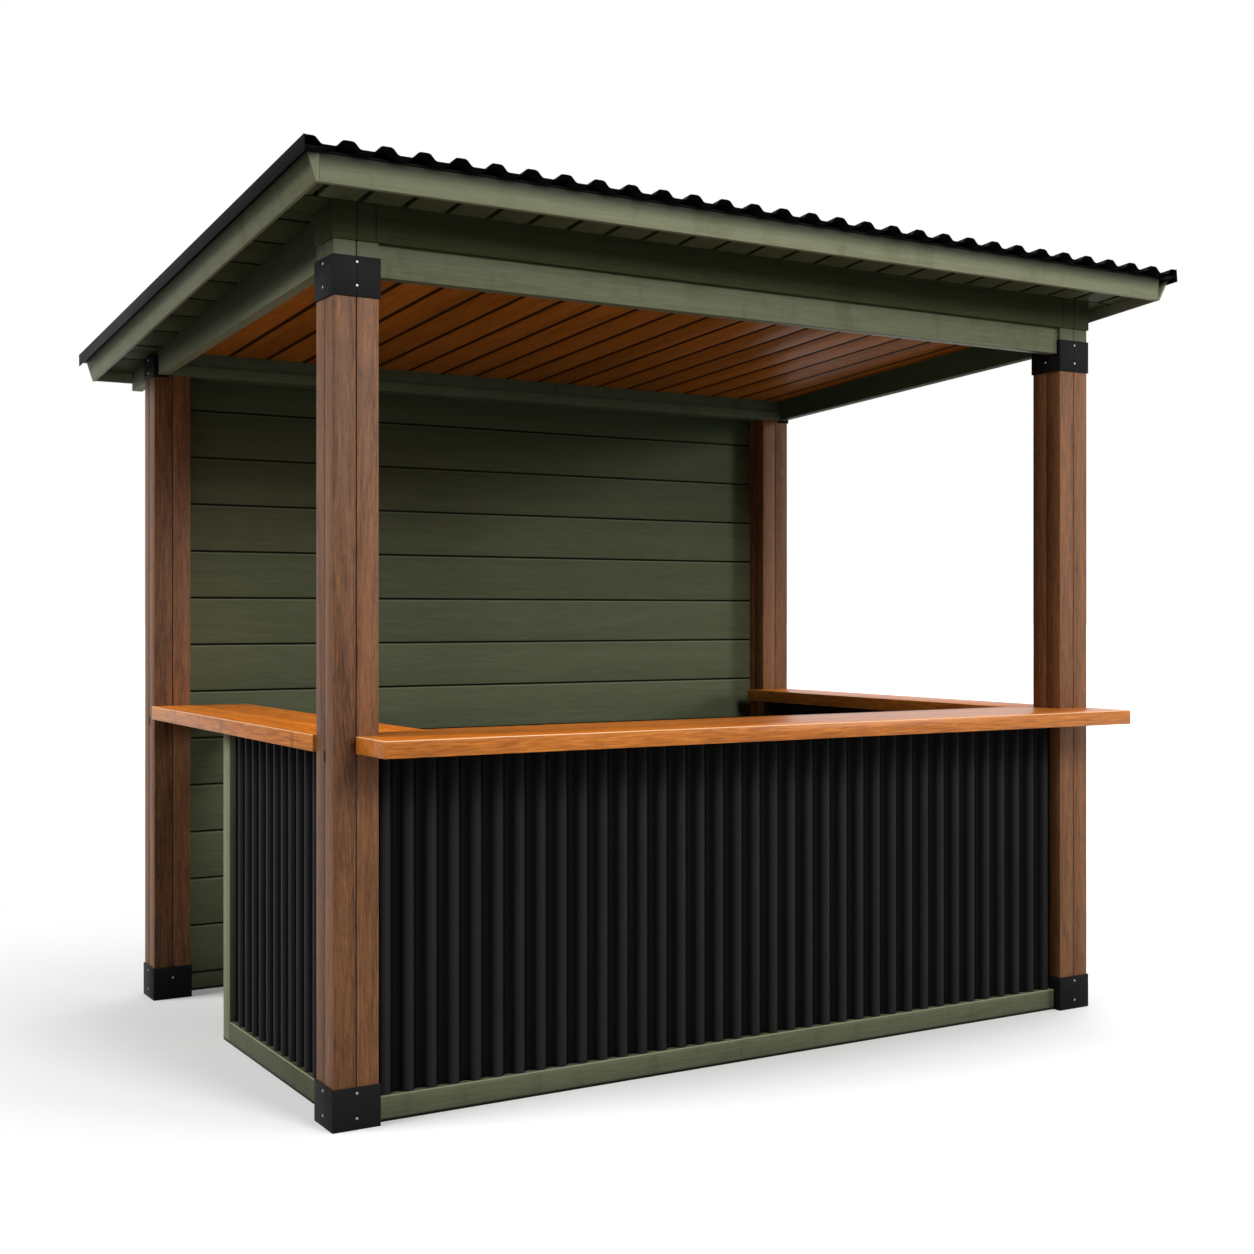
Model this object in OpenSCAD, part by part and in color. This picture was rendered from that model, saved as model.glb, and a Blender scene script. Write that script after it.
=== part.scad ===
// Market stall: four posts under a mono-pitch roof, a boarded back wall,
// and a counter on three sides over panels of corrugated sheet.
// Origin at the centre of the roof plan on the ground, +Z up, front towards -Y.

/* [Posts] */
// Width of the square posts
post_w = 125; // [115:1:135]
// Post centre to post centre along the front
bay_w = 2570; // [2400:10:2700]
// Post centre to post centre from front to back
bay_d = 1705; // [1600:5:1750]
// Top of the front posts, where the top plate rests
post_top = 2293; // [2285:1:2305]
// Width of the seam along the middle of each post face
seam_w = 3; // [1:0.5:5]
// Depth of that seam
seam_d = 2; // [1:0.5:4]

/* [Steel boots and collars] */
// Plate thickness of boots and collars
plate_t = 4; // [3:0.5:6]
// Height of the boots
boot_h = 110; // [90:1:130]
// Lower edge of the collars below the top of the front posts
collar_drop = 145; // [130:1:155]
// Height of the front collars
collar_h = 105; // [95:1:120]
// Height of the back collars
back_collar_h = 77; // [70:1:85]
// Gap between the back collars and the soffit above them
collar_gap = 0.5; // [0.2:0.1:0.9]

/* [Beams] */
// Thickness of the header and the side beams
beam_t = 38; // [32:1:44]
// Distance that the beams lie behind the post faces
beam_recess = 12; // [8:1:18]
// Height of the front header under the top plate
header_h = 86; // [75:1:100]
// Distance that the top plate stands proud of the posts
plate_proud = 5; // [2:1:10]
// Underside of the side beams below the top of the front posts
beam_drop = 60; // [50:1:68]
// Height of the side beams under the roof deck at the back posts
beam_back_h = 95; // [85:1:100]

/* [Roof] */
// Side edge of the roof to the outer face of the posts
side_overhang = 165.5; // [150:0.5:220]
// Roof fall towards the back, in degrees
roof_pitch = 5.2; // [5:0.1:5.3]
// Front edge of the roof to the front face of the posts
front_overhang = 243; // [200:1:280]
// Back edge of the roof to the back face of the posts
back_overhang = 266; // [200:1:300]
// Top of the front fascia above the top of the front posts
eave_rise = 153; // [147:1:165]
// Thickness of the roof sheet
sheet_t = 1.5; // [1:0.1:2]
// Distance from rib to rib
rib_pitch = 100; // [90:1:120]
// Height of the ribs
rib_h = 24; // [20:1:28]
// Width of the ribs at the top
rib_crest = 28; // [20:1:34]
// Width of the ribs at the base
rib_base = 62; // [54:1:70]
// Thickness of the fascia boards
fascia_t = 18; // [15:1:24]
// Height of the fascia and barge boards
fascia_h = 71; // [62:1:80]
// Roof edge to the face of the front fascia
fascia_setback = 37; // [25:1:50]
// Roof edge to the face of the back fascia
back_setback = 24; // [15:1:40]
// Roof edge to the ends of the fascia boards
verge_setback = 52; // [45:1:60]
// Thickness of the barge boards at the top
barge_top_t = 30; // [24:1:34]
// Thickness of the barge boards at the bottom
barge_low_t = 8; // [6:1:12]
// Distance that the outer edge of a barge board's end turns back
barge_turn = 17; // [10:1:24]
// Thickness of the roof deck
deck_t = 20; // [15:1:24]
// Thickness of the soffit boards
soffit_t = 15; // [12:1:18]
// Height of the verge trims
trim_h = 42; // [36:1:46]
// Metal thickness of the verge trims
trim_t = 2; // [1.5:0.5:3]
// Distance that the verge trims hang below the roof sheet
trim_drop = 15; // [10:1:18]

/* [Ceiling] */
// Underside of the ceiling at its front edge above the top of the front posts
ceiling_rise = 32; // [22:1:42]
// Thickness of the ceiling boards
ceiling_t = 12; // [10:1:15]

/* [Back wall] */
// Thickness of the wall boards
wall_t = 28; // [22:1:34]
// Distance from joint to joint of the wall boards
board_pitch = 166; // [140:1:190]
// Width of the joint between two boards
joint_w = 5; // [3:1:8]
// Depth of that joint
joint_d = 4; // [2:1:6]
// Height of the back sill
back_sill_h = 58; // [50:1:75]
// Distance that sill and header stand proud of the wall
trim_proud = 12; // [6:1:18]
// Height of the back header
back_header_h = 65; // [58:1:72]
// Thickness of the back header in front of the back posts
ledger_t = 12; // [10:1:16]

/* [Counter] */
// Height of the counter's top
counter_top = 1014; // [950:1:1080]
// Thickness of the counter boards
counter_t = 45; // [35:1:55]
// Front counter in front of the posts
counter_front = 193; // [150:1:230]
// Inner edge of the front counter behind the back face of the front posts
counter_back = 38; // [25:1:95]
// Left end of the front counter from the left post's outer face
counter_end = 60; // [30:1:80]
// Width of the left counter inside the posts' outer face
left_counter_w = 320; // [280:1:360]
// Left counter outside the posts' outer face
left_counter_over = 10; // [0:1:20]
// Width of the right counter
right_counter_w = 208; // [190:1:260]

/* [Panels] */
// Height of the sill rails
sill_h = 68; // [55:1:80]
// Thickness of the sill rails
sill_t = 45; // [38:1:50]
// Front panel behind the front face of the posts
front_inset = 24; // [15:1:30]
// Side panels inside the outer face of the posts
side_inset = 45; // [30:1:50]
// Distance from rib to rib of the cladding
clad_pitch = 66; // [55:1:75]
// Depth of the cladding's ribs
clad_depth = 18; // [12:1:22]
// Width of the cladding's ribs at the top
clad_crest = 22; // [16:1:26]
// Width of the cladding's ribs at the base
clad_base = 46; // [38:1:52]
// Sheet thickness of the cladding
clad_t = 1.5; // [1:0.1:2]
// Cladding behind the face of the sill rails
clad_inset = 6; // [2:1:10]
// Height of the rails under the counters
rail_h = 40; // [30:2:60]
// Length of the left panel behind the front post
left_panel = 947; // [700:1:1100]
// Width of the stud that ends the left panel
stud_w = 64; // [50:1:80]
// Width of the set-back part of the left end stud
stud_step = 30; // [20:2:36]
// Depth of the set-back part of the left end stud
stud_recess = 18; // [10:1:24]

/* [Hidden] */

wood = [0.40, 0.26, 0.17];
olive = [0.30, 0.32, 0.23];
black = [0.10, 0.10, 0.10];
orange = [0.70, 0.38, 0.14];

// Roof plan over the trims and edges
roof_w = bay_w + post_w + 2 * side_overhang;
roof_d = front_overhang + bay_d + post_w + back_overhang;

// Post faces: outer and inner in X, then front and back of the front and back posts in Y
out_x = (bay_w + post_w) / 2;
in_x = (bay_w - post_w) / 2;
front_y = -roof_d / 2 + front_overhang;
front_in_y = front_y + post_w;
back_in_y = front_y + bay_d;
back_y = back_in_y + post_w;

// Roof edges
fascia_y = -roof_d / 2 + fascia_setback;
back_fascia_y = roof_d / 2 - back_setback;
verge_x = roof_w / 2 - verge_setback;
fall = tan(roof_pitch);

// Inner faces of the beams and the front of the wall's header
beam_out_x = out_x - beam_recess;
beam_in_x = beam_out_x - beam_t;
wall_y = back_y - wall_t;
header_y = wall_y - trim_proud;
counter_low = counter_top - counter_t;

// Heights that follow the top of the front posts
eave_top = post_top + eave_rise;
header_low = post_top - header_h;
collar_low = post_top - collar_drop;
beam_low = post_top - beam_drop;
ceiling_front = post_top + ceiling_rise;
eps = 1;

// Heights at a depth y: underside of the sheet, of the deck and of the soffits
function roof_z(y) = eave_top - (y - fascia_y) * fall;
function deck_z(y) = roof_z(y) - deck_t;
function soffit_z(y) = deck_z(y) - soffit_t;
function beam_z(y) = beam_low - (y - front_in_y) * beam_fall;
beam_fall = (beam_low - deck_z(back_in_y) + beam_back_h) / (back_in_y - front_in_y);
ceiling_back = deck_z(header_y) - ceiling_t;
back_header_low = deck_z(back_y) - back_header_h;
back_collar_low = soffit_z(back_y + plate_t) - collar_gap - back_collar_h;

// Height of a trapezoid rib at x, with a crest at each multiple of the pitch
function rib_at(x, pitch, crest, base, height) =
  let (u = abs(x - pitch * round(x / pitch)))
  u <= crest / 2 ? height : u >= base / 2 ? 0 : height * (base / 2 - u) / ((base - crest) / 2);

// Line of a ribbed sheet from x0 to x1: its two ends and the corners of the ribs between them
function rib_line(x0, x1, pitch, crest, base, height) = [
  [x0, rib_at(x0, pitch, crest, base, height)],
  for (i = [floor(x0 / pitch) : ceil(x1 / pitch)], s = [-base, -crest, crest, base])
    let (x = i * pitch + s / 2) if (x > x0 + 0.1 && x < x1 - 0.1) [x, rib_at(x, pitch, crest, base, height)],
  [x1, rib_at(x1, pitch, crest, base, height)]];

// Section of a ribbed sheet, one thickness above the line
module ribbed(line, t) {
  n = len(line);
  polygon(concat(line, [for (i = [n - 1 : -1 : 0]) [line[i][0], line[i][1] + t]]));
}

module block(lo, hi) { translate(lo) cube(hi - lo); }

// Extrudes a section drawn in Y and Z along X
module along_x(x0, x1) { translate([x0, 0, 0]) rotate([90, 0, 90]) linear_extrude(x1 - x0) children(); }

// Runs a section drawn in X and Z, measured from the sheet's underside, down the roof from y0 to y1
module down_roof(y0, y1) {
  run = (y1 - y0) / cos(roof_pitch);
  translate([0, y0, roof_z(y0)]) rotate([-roof_pitch, 0, 0]) translate([0, run, 0])
    rotate([90, 0, 0]) linear_extrude(run) children();
}

// A board that follows the roof between two depths, from one height function's offset to another
module roof_board(x0, x1, y0, y1, low, high) {
  along_x(x0, x1) polygon([[y0, roof_z(y0) - low], [y1, roof_z(y1) - low],
    [y1, roof_z(y1) - high], [y0, roof_z(y0) - high]]);
}

module on_right() { mirror([1, 0, 0]) children(); }

// Posts, drawn for the left side
module post_seams(y0, top) {
  for (x = [-out_x, -in_x - seam_d])
    block([x, y0 + (post_w - seam_w) / 2, 0], [x + seam_d, y0 + (post_w + seam_w) / 2, top]);
  for (y = [y0, y0 + post_w - seam_d])
    block([-bay_w / 2 - seam_w / 2, y, 0], [-bay_w / 2 + seam_w / 2, y + seam_d, top]);
}

module front_post() {
  difference() {
    block([-out_x, front_y, plate_t], [-in_x, front_in_y, post_top]);
    post_seams(front_y, post_top + eps);
  }
}

module back_post() {
  difference() {
    along_x(-out_x, -in_x) polygon([[back_in_y, plate_t], [back_y, plate_t],
      [back_y, deck_z(back_y)], [back_in_y, deck_z(back_in_y)]]);
    post_seams(back_in_y, post_top);
    side_beam();
  }
}

// Steel cups under the posts and sleeves round their tops
module boot(y0) {
  difference() {
    block([-out_x - plate_t, y0 - plate_t, 0], [-in_x + plate_t, y0 + post_w + plate_t, boot_h]);
    block([-out_x, y0, plate_t], [-in_x, y0 + post_w, boot_h + eps]);
  }
}

module sleeve(y0, z0, h) {
  difference() {
    block([-out_x - plate_t, y0 - plate_t, z0], [-in_x + plate_t, y0 + post_w + plate_t, z0 + h]);
    block([-out_x, y0, z0 - eps], [-in_x, y0 + post_w, z0 + h + eps]);
  }
}

module front_collar() {
  difference() {
    sleeve(front_y, collar_low, collar_h);
    block([-in_x - eps, front_y + beam_recess, header_low], [0, front_y + beam_recess + beam_t, post_top]);
    block([-beam_out_x, front_in_y - eps, beam_z(front_in_y + plate_t)], [-beam_in_x, front_in_y + 2 * plate_t, post_top]);
  }
}

module back_collar() {
  difference() {
    sleeve(back_in_y, back_collar_low, back_collar_h);
    side_beam();
    block([-beam_in_x, back_in_y - 2 * plate_t, back_collar_low - eps], [0, back_y, post_top]);
  }
}

// Beams
module header() {
  block([-in_x, front_y + beam_recess, header_low], [in_x, front_y + beam_recess + beam_t, post_top]);
}

module top_plate() {
  along_x(-out_x - plate_proud, out_x + plate_proud) polygon([[front_y - plate_proud, post_top],
    [front_in_y, post_top], [front_in_y, deck_z(front_in_y)], [front_y - plate_proud, deck_z(front_y - plate_proud)]]);
}

module side_beam() {
  y1 = back_fascia_y - fascia_t;
  along_x(-beam_out_x, -beam_in_x) polygon([[front_in_y, beam_z(front_in_y)], [y1, beam_z(y1)],
    [y1, deck_z(y1)], [front_in_y, deck_z(front_in_y)]]);
}

function ceiling_z(y) = ceiling_front - (ceiling_front - ceiling_back) * (y - front_in_y) / (header_y - front_in_y);

module wall_header() {
  y0 = back_in_y - ledger_t;
  low = beam_z(back_in_y);
  along_x(-in_x, in_x) polygon([[y0, low], [header_y, low], [header_y, back_header_low], [back_y, back_header_low],
    [back_y, deck_z(back_y)], [header_y, deck_z(header_y)], [header_y, ceiling_back], [y0, ceiling_z(y0)]]);
  along_x(-beam_in_x, beam_in_x) polygon([[y0, low], [back_in_y, low], [back_in_y, ceiling_z(back_in_y)], [y0, ceiling_z(y0)]]);
}

// Boards under the roof
module ceiling() {
  difference() {
    along_x(-beam_in_x, beam_in_x) polygon([[front_in_y, ceiling_front], [header_y, ceiling_back],
      [header_y, ceiling_back + ceiling_t], [front_in_y, ceiling_front + ceiling_t]]);
    for (x = [-out_x, in_x]) block([x, back_in_y, ceiling_back - eps], [x + post_w, back_y, post_top]);
  }
}

module front_soffit_boards() {
  roof_board(-verge_x, verge_x, fascia_y + fascia_t, front_y - plate_proud, deck_t + soffit_t, deck_t);
}

module side_soffit_boards() {
  difference() {
    roof_board(-verge_x, -beam_out_x, front_y - plate_proud, back_fascia_y - fascia_t, deck_t + soffit_t, deck_t);
    block([-out_x - plate_proud, front_y - plate_proud - eps, 0], [0, front_in_y, eave_top]);
    block([-out_x, back_in_y, 0], [0, back_y, eave_top]);
  }
}

module back_soffit_boards() {
  roof_board(-beam_in_x, beam_in_x, back_y, back_fascia_y - fascia_t, deck_t + soffit_t, deck_t);
}

module deck() {
  roof_board(-verge_x, verge_x, fascia_y + fascia_t, back_fascia_y - fascia_t, deck_t, 0);
}

// Roof edges
module fascia(y0) {
  y1 = y0 + fascia_t;
  along_x(-verge_x, verge_x) polygon([[y0, roof_z(y0) - fascia_h], [y1, roof_z(y0) - fascia_h],
    [y1, roof_z(y1)], [y0, roof_z(y0)]]);
}

module barge() {
  intersection() {
    down_roof(fascia_y - fascia_h, back_fascia_y + fascia_h)
      polygon([[-verge_x, -fascia_h], [-verge_x, -trim_t], [-verge_x - barge_top_t, -trim_t], [-verge_x - barge_low_t, -fascia_h]]);
    linear_extrude(2 * eave_top) polygon([[-verge_x, fascia_y], [-verge_x, back_fascia_y],
      [-verge_x - barge_top_t, back_fascia_y - barge_turn], [-verge_x - barge_top_t, fascia_y + barge_turn]]);
  }
}

module verge_trim() {
  down_roof(-roof_d / 2, roof_d / 2)
    polygon([[-roof_w / 2, -trim_drop], [-roof_w / 2 + trim_t, -trim_drop], [-roof_w / 2 + trim_t, -trim_t],
      [-verge_x, -trim_t], [-verge_x, 0], [-roof_w / 2 + trim_t, 0],
      [-roof_w / 2 + trim_t, trim_h - trim_drop], [-roof_w / 2, trim_h - trim_drop]]);
}

module sheet() {
  edge = roof_w / 2 - trim_t;
  down_roof(-roof_d / 2, roof_d / 2)
    ribbed(rib_line(-edge, edge, rib_pitch, rib_crest, rib_base, rib_h), sheet_t);
}

// Back wall
module wall() {
  zs = [for (z = [back_sill_h + board_pitch : board_pitch : back_header_low - joint_w]) z];
  difference() {
    block([-in_x, wall_y, back_sill_h], [in_x, back_y, back_header_low]);
    for (z = zs, y = [wall_y, back_y]) translate([-in_x - eps, y, z]) rotate([90, 0, 90])
      linear_extrude(2 * in_x + 2 * eps) polygon([[-joint_d, 0], [0, -joint_w / 2], [joint_d, 0], [0, joint_w / 2]]);
    for (x = [-in_x - eps, in_x - plate_t]) block([x, wall_y - eps, 0], [x + plate_t + eps, back_y + eps, boot_h]);
  }
}

module sill_back() { block([-in_x + plate_t, header_y, 0], [in_x - plate_t, back_y, back_sill_h]); }

// Counter panels
module sill_front() {
  block([-in_x + plate_t, front_y + front_inset, 0], [in_x - plate_t, front_y + front_inset + sill_t, sill_h]);
}

module side_sill(y1) {
  block([-out_x + side_inset, front_in_y + plate_t, 0], [-out_x + side_inset + sill_t, y1, sill_h]);
}

module stud() {
  y1 = front_in_y + left_panel;
  difference() {
    block([-out_x + side_inset, y1 - stud_w, 0], [-out_x + side_inset + sill_t, y1, counter_low]);
    block([-out_x + side_inset - eps, y1 - stud_w - eps, sill_h], [-out_x + side_inset + stud_recess, y1 - stud_w + stud_step, counter_top]);
  }
}

// Upright ribbed sheet of a given length, ribs towards -Y, with whole ribs between its ends
module panel(length) {
  n = round(length / clad_pitch);
  pitch = length / n;
  translate([0, clad_depth + clad_t, sill_h]) mirror([0, 1, 0]) linear_extrude(counter_low - sill_h)
    ribbed(rib_line(-length / 2, length / 2, pitch, clad_crest, clad_base, clad_depth), clad_t);
}

module boots_clear() {
  for (x = [-1, 1], y = [front_y, back_in_y]) translate([x * bay_w / 2, y + post_w / 2, boot_h / 2])
    cube([post_w + 2 * plate_t, post_w + 2 * plate_t, boot_h], center = true);
}

module clad_front() {
  difference() {
    translate([0, front_y + front_inset + clad_inset, 0]) panel(2 * in_x);
    boots_clear();
  }
}

module clad_side(y1) {
  difference() {
    translate([-out_x + side_inset + clad_inset, (front_in_y + y1) / 2, 0]) rotate([0, 0, -90]) panel(y1 - front_in_y);
    boots_clear();
  }
}

clad_back = clad_inset + clad_depth + clad_t;

module rail_front() {
  block([-in_x, front_y + front_inset + clad_back, counter_low - rail_h],
    [in_x, front_y + front_inset + clad_back + sill_t, counter_low]);
}

module side_rail(y1) {
  block([-out_x + side_inset + clad_back, front_in_y, counter_low - rail_h],
    [-out_x + side_inset + clad_back + sill_t, y1, counter_low]);
}

// Counters
module front_top() {
  left_x = -out_x + left_counter_w;
  right_x = out_x - right_counter_w;
  translate([0, 0, counter_low]) linear_extrude(counter_t) polygon([
    [-out_x + counter_end, front_y - counter_front], [out_x, front_y - counter_front], [out_x, front_y],
    [in_x, front_y], [in_x, front_in_y], [right_x, front_in_y], [right_x, front_in_y + counter_back],
    [left_x, front_in_y + counter_back], [left_x, front_in_y], [-in_x, front_in_y], [-in_x, front_y],
    [-out_x + counter_end, front_y]]);
}

// One module per node
module front_left_post() { color(wood) front_post(); }
module front_right_post() { color(wood) on_right() front_post(); }
module back_left_post() { color(wood) back_post(); }
module back_right_post() { color(wood) on_right() back_post(); }
module front_left_boot() { color(black) boot(front_y); }
module front_right_boot() { color(black) on_right() boot(front_y); }
module back_left_boot() { color(black) boot(back_in_y); }
module back_right_boot() { color(black) on_right() boot(back_in_y); }
module front_left_collar() { color(black) front_collar(); }
module front_right_collar() { color(black) on_right() front_collar(); }
module back_left_collar() { color(black) back_collar(); }
module back_right_collar() { color(black) on_right() back_collar(); }
module front_header() { color(olive) header(); }
module front_top_plate() { color(olive) top_plate(); }
module left_side_beam() { color(olive) side_beam(); }
module right_side_beam() { color(olive) on_right() side_beam(); }
module back_header() { color(olive) wall_header(); }
module ceiling_boards() { color(orange) ceiling(); }
module front_soffit() { color(olive) front_soffit_boards(); }
module left_soffit() { color(olive) side_soffit_boards(); }
module right_soffit() { color(olive) on_right() side_soffit_boards(); }
module back_soffit() { color(olive) back_soffit_boards(); }
module roof_deck() { color(olive) deck(); }
module front_fascia() { color(olive) fascia(fascia_y); }
module back_fascia() { color(olive) fascia(back_fascia_y - fascia_t); }
module left_barge() { color(olive) barge(); }
module right_barge() { color(olive) on_right() barge(); }
module roof_sheet() { color(black) sheet(); }
module left_verge_trim() { color(black) verge_trim(); }
module right_verge_trim() { color(black) on_right() verge_trim(); }
module back_wall() { color(olive) wall(); }
module back_sill() { color(olive) sill_back(); }
module front_sill() { color(olive) sill_front(); }
module left_sill() { color(olive) side_sill(front_in_y + left_panel - stud_w); }
module right_sill() { color(olive) on_right() side_sill(back_in_y - plate_t); }
module left_end_stud() { color(olive) stud(); }
module front_cladding() { color(black) clad_front(); }
module left_cladding() { color(black) clad_side(front_in_y + left_panel - stud_w); }
module right_cladding() { color(black) on_right() clad_side(back_in_y); }
module front_rail() { color(black) rail_front(); }
module left_rail() { color(black) side_rail(front_in_y + left_panel - stud_w); }
module right_rail() { color(black) on_right() side_rail(back_in_y); }
module front_counter() { color(orange) front_top(); }
module left_counter() {
  color(orange) block([-out_x - left_counter_over, front_in_y, counter_low], [-out_x + left_counter_w, back_in_y, counter_top]);
}
module right_counter() {
  color(orange) block([out_x - right_counter_w, front_in_y, counter_low], [out_x, back_in_y, counter_top]);
}

front_left_post();
front_right_post();
back_left_post();
back_right_post();
front_left_boot();
front_right_boot();
back_left_boot();
back_right_boot();
front_left_collar();
front_right_collar();
back_left_collar();
back_right_collar();
front_header();
front_top_plate();
left_side_beam();
right_side_beam();
back_header();
ceiling_boards();
front_soffit();
left_soffit();
right_soffit();
back_soffit();
roof_deck();
front_fascia();
back_fascia();
left_barge();
right_barge();
roof_sheet();
left_verge_trim();
right_verge_trim();
back_wall();
back_sill();
front_sill();
left_sill();
right_sill();
left_end_stud();
front_cladding();
left_cladding();
right_cladding();
front_rail();
left_rail();
right_rail();
front_counter();
left_counter();
right_counter();
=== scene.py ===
from math import radians, pi, cos, atan, ceil, floor
import bpy
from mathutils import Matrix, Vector


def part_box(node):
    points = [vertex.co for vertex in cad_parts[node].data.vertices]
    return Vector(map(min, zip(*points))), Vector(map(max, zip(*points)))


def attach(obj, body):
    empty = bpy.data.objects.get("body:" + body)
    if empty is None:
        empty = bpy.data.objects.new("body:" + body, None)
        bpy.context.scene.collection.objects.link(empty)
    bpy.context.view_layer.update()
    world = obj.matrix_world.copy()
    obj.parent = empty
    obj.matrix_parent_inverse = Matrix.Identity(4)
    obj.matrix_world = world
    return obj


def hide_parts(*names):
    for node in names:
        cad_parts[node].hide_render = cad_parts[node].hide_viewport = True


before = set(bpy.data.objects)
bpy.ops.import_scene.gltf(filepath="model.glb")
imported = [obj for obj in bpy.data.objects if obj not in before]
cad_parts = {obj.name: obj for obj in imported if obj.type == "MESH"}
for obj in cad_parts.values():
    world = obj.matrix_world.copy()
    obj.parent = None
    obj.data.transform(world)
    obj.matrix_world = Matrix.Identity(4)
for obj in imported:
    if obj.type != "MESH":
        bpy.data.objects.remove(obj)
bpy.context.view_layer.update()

corners = ("front_left", "front_right", "back_left", "back_right")
near = 0.001  # places closer than this count as one


# picking, copying and finishing of pieces

cleaning = {"merge": 0.00002, "flat": 0.5}  # reach in metres and angle in degrees, for the copy of a solid


def deselectAll():
    if bpy.context.object and bpy.context.object.mode != "OBJECT":
        bpy.ops.object.mode_set(mode="OBJECT")
    bpy.ops.object.select_all(action="DESELECT")


def makeActive(piece):
    deselectAll()
    piece.select_set(True)
    bpy.context.view_layer.objects.active = piece


def endEdit():
    bpy.ops.object.mode_set(mode="OBJECT")


def editAll(piece):  # into edit mode with the whole mesh selected
    makeActive(piece)
    bpy.ops.object.mode_set(mode="EDIT")
    bpy.ops.mesh.select_all(action="SELECT")


def editSome(piece, kind, wanted):  # into edit mode with only the wanted points, edges or faces selected
    makeActive(piece)
    bpy.ops.object.mode_set(mode="EDIT")
    bpy.ops.mesh.select_mode(type=kind)
    bpy.ops.mesh.select_all(action="DESELECT")
    endEdit()
    parts = {"VERT": piece.data.vertices, "EDGE": piece.data.edges, "FACE": piece.data.polygons}
    for part in parts[kind]:
        part.select = wanted(part)
    bpy.ops.object.mode_set(mode="EDIT")


def applyModifier(piece, name, kind, **settings):
    makeActive(piece)
    modifier = piece.modifiers.new(name, kind)
    for key, value in settings.items():
        setattr(modifier, key, value)
    bpy.ops.object.modifier_apply(modifier=modifier.name)


def roundEdges(piece, width, segments=2, angle=30):
    applyModifier(piece, "roundEdges", "BEVEL", width=width, segments=segments,
                  limit_method="ANGLE", angle_limit=radians(angle))


def smooth(piece, angle=35):
    makeActive(piece)
    bpy.ops.object.shade_smooth_by_angle(angle=radians(angle))


def bakePlace(piece):
    makeActive(piece)
    bpy.ops.object.transform_apply(location=True, rotation=True, scale=True)


def finishPiece(piece, material, slot, *nodes):
    piece.data.materials.clear()
    piece.data.materials.append(material)
    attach(piece, "root")
    if nodes:
        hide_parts(*nodes)
    return piece


def cadCopy(node, name):
    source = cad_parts[node]
    piece = source.copy()
    piece.data = source.data.copy()
    piece.name = name
    piece.parent = None
    for key in list(piece.keys()):
        del piece[key]
    bpy.context.scene.collection.objects.link(piece)
    makeActive(piece)
    if piece.data.has_custom_normals:
        bpy.ops.mesh.customdata_custom_splitnormals_clear()
    editAll(piece)
    bpy.ops.mesh.remove_doubles(threshold=cleaning["merge"])
    bpy.ops.mesh.dissolve_limited(angle_limit=radians(cleaning["flat"]))
    endEdit()
    return piece


def board(name, low, high):  # a box between two corners, to be shaped further
    deselectAll()
    low, high = Vector(low), Vector(high)
    bpy.ops.mesh.primitive_cube_add(size=1, location=(low + high) / 2)
    piece = bpy.context.object
    piece.name = name
    piece.scale = high - low
    bakePlace(piece)
    return piece


def joinPieces(first, *others):
    makeActive(first)
    for piece in others:
        piece.select_set(True)
    if others:
        bpy.ops.object.join()
    return first


def slopeDown(piece, fall, atY):  # moves each point down with its distance behind atY, so that ends stay plumb
    for point in piece.data.vertices:
        point.co.z -= (point.co.y - atY) * fall


# sizes read from the frame

deckSlab = 0.020  # thickness of the roof deck
beamFall = 0.048  # fall of the side beams' lower edge in each metre
postLow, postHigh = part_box("front_left_post")
backLow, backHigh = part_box("back_left_post")
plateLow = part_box("front_top_plate")[0]
deckLow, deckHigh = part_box("roof_deck")
fasciaLow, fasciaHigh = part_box("front_fascia")
sheetLow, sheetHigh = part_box("roof_sheet")
wallLow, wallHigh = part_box("back_wall")
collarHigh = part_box("front_left_collar")[1]
counterLow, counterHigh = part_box("front_counter")
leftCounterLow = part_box("left_counter")[0]
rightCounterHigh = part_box("right_counter")[1]
sillLow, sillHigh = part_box("front_sill")
studLow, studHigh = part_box("left_end_stud")
beamLow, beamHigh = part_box("left_side_beam")
sideLow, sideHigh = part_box("left_soffit")
postMiddle = (postLow + postHigh) / 2
postX, postY = -postMiddle.x, -postMiddle.y
postWidth = postHigh.x - postLow.x
roofFall = (deckHigh.z - deckLow.z - deckSlab) / (deckHigh.y - deckLow.y)
roofAngle = atan(roofFall)


# shader values

def colour(code):  # hex code as linear light
    parts = [int(code[i:i + 2], 16) / 255 for i in (0, 2, 4)]
    return tuple(c / 12.92 if c <= 0.04045 else ((c + 0.055) / 1.055) ** 2.4 for c in parts) + (1.0,)


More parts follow.
